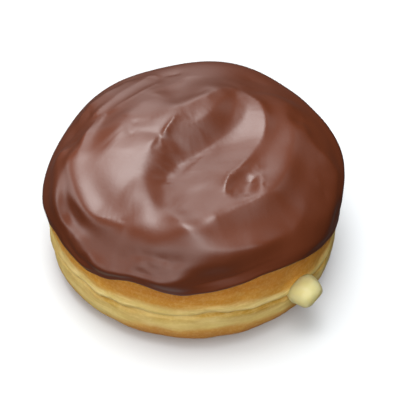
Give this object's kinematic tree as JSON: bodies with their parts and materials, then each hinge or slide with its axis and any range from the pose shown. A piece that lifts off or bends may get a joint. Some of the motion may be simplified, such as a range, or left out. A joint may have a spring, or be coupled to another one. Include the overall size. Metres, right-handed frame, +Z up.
{
  "type": "boston cream doughnut",
  "caption": "Round filled doughnut under a thick swirled chocolate icing, with a lump of custard at the filling hole in its side.",
  "frame": {"origin": "centre of the flat underside that the doughnut rests on", "axes": "+Z up; -Y is the front, seen nearest the camera in the picture, with the custard lump 44 degrees round from +X towards it; +X right"},
  "size_m": [0.0886, 0.0912, 0.0521],
  "materials": {
    "dough": "soft fried dough: golden brown above and below, with a pale yellow band round the crease",
    "icing": "satin milk-chocolate icing",
    "custard": "smooth pale yellow custard, slightly moist"
  },
  "bodies": {
    "root": {"dough": "dough", "icing": "icing", "custard": "custard"}
  },
  "joints": []
}
